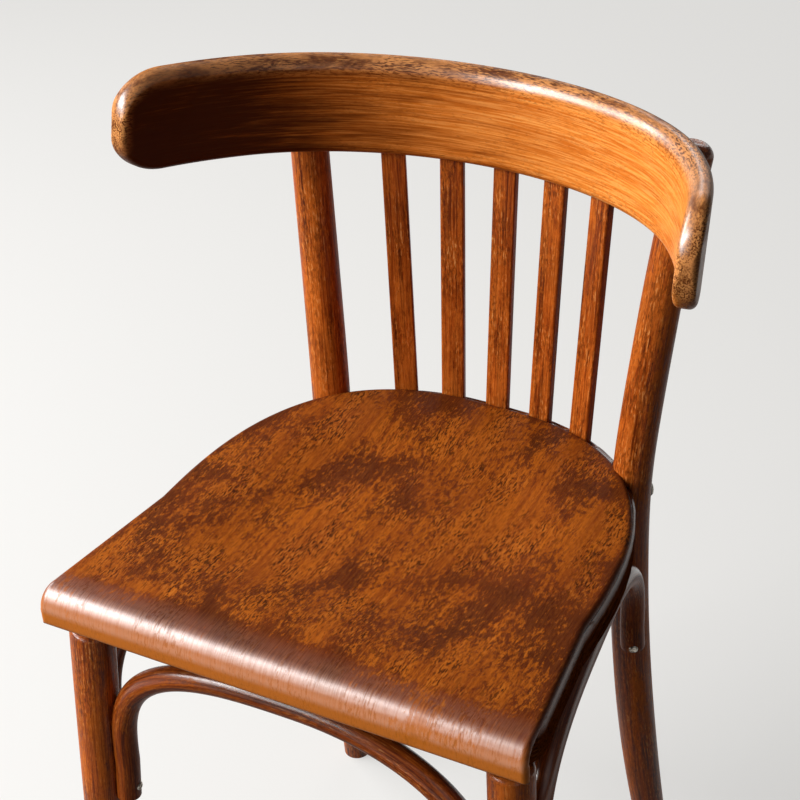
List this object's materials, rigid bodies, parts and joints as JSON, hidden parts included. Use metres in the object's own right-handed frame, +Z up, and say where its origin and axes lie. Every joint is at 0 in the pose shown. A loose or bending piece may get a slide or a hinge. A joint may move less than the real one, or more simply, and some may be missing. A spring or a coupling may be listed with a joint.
{
  "type": "bentwood chair",
  "caption": "Bentwood chair with round splayed legs, a moulded seat, a slatted back and a wide curved top rail, in worn and crackled varnish.",
  "frame": {"origin": "middle of the bounding box's base, on the floor between the four feet", "axes": "+Z up, -Y the chair's front, +X to the right of someone who looks at the front"},
  "size_m": [0.4624, 0.4194, 0.7887],
  "materials": {
    "seat_varnish": "worn, crackled clear varnish on moulded plywood",
    "frame_varnish": "worn, mottled clear varnish on bent beech",
    "rail_varnish": "worn clear varnish on a bent beech board",
    "old_steel": "dull, lightly tarnished"
  },
  "bodies": {
    "root": {"back_post_left": "frame_varnish", "back_post_right": "frame_varnish", "front_bow": "frame_varnish", "front_bow_screw_left": "old_steel", "front_bow_screw_right": "old_steel", "front_leg_left": "frame_varnish", "front_leg_right": "frame_varnish", "front_rail_screw_left": "old_steel", "front_rail_screw_right": "old_steel", "post_bolt_left": "old_steel", "post_bolt_right": "old_steel", "post_nut_left": "old_steel", "post_nut_right": "old_steel", "rail_screw_lower_left": "old_steel", "rail_screw_lower_right": "old_steel", "rail_screw_upper_left": "old_steel", "rail_screw_upper_right": "old_steel", "seat_hoop": "frame_varnish", "seat_panel": "seat_varnish", "seat_screw_1": "old_steel", "seat_screw_2": "old_steel", "seat_screw_3": "old_steel", "seat_screw_4": "old_steel", "side_bow_front_screw_left": "old_steel", "side_bow_front_screw_right": "old_steel", "side_bow_left": "frame_varnish", "side_bow_rear_screw_left": "old_steel", "side_bow_rear_screw_right": "old_steel", "side_bow_right": "frame_varnish", "slat_1": "frame_varnish", "slat_2": "frame_varnish", "slat_3": "frame_varnish", "slat_4": "frame_varnish", "slat_5": "frame_varnish", "top_rail": "rail_varnish"}
  },
  "joints": []
}
